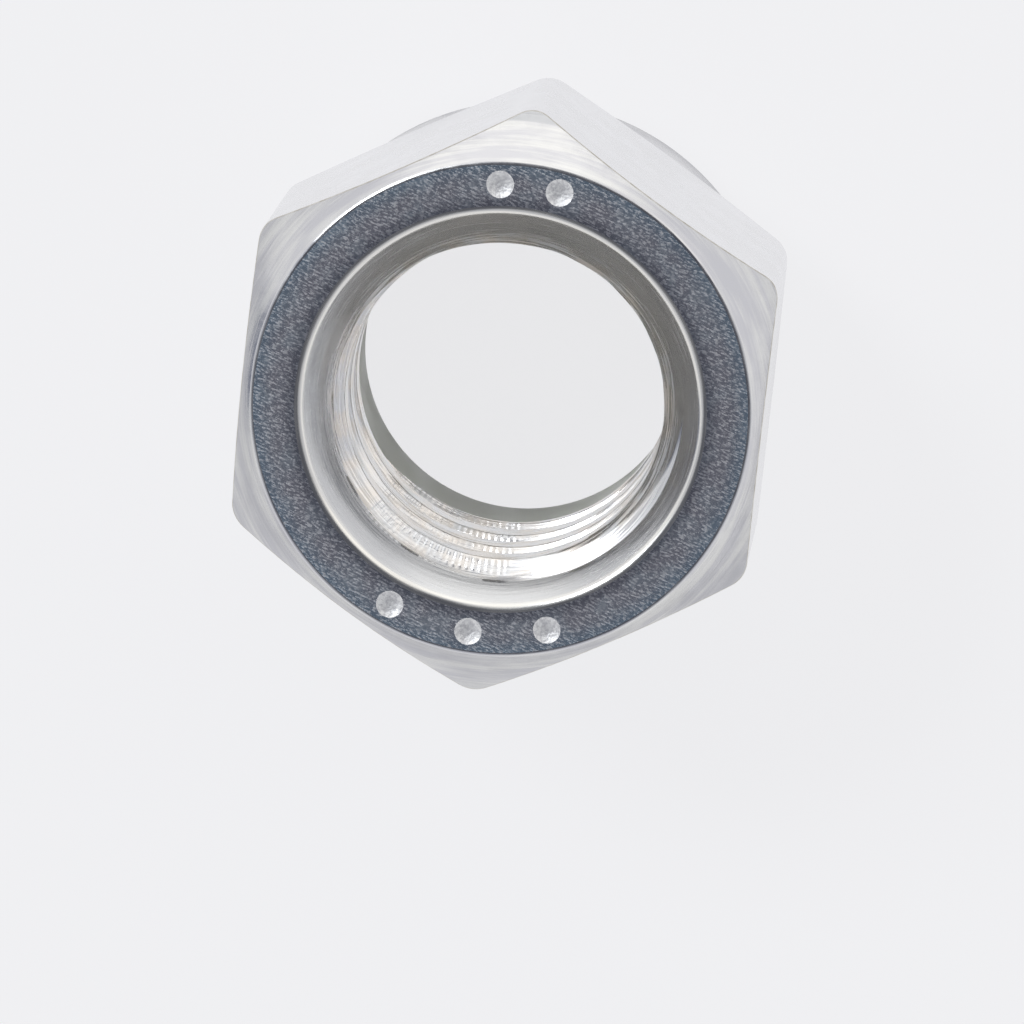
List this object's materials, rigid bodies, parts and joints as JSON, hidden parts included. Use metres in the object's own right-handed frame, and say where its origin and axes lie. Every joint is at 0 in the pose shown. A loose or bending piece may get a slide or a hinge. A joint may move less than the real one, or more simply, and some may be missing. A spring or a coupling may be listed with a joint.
{
  "type": "nylon insert lock nut",
  "caption": "Hexagon lock nut in stainless steel with a round collar rolled in over a nylon ring that grips the bolt thread.",
  "frame": {"origin": "centre of the collar end, which is the face the nut stands on", "axes": "+Z along the thread axis towards the bearing face; +X through a corner of the hexagon; +Y square to a flat"},
  "size_m": [0.018, 0.0158, 0.0119],
  "materials": {
    "stainless_steel": "turned and lightly polished",
    "nylon": "translucent natural nylon, smooth"
  },
  "bodies": {
    "root": {"nut_body": "stainless_steel", "nylon_insert": "nylon"}
  },
  "joints": []
}
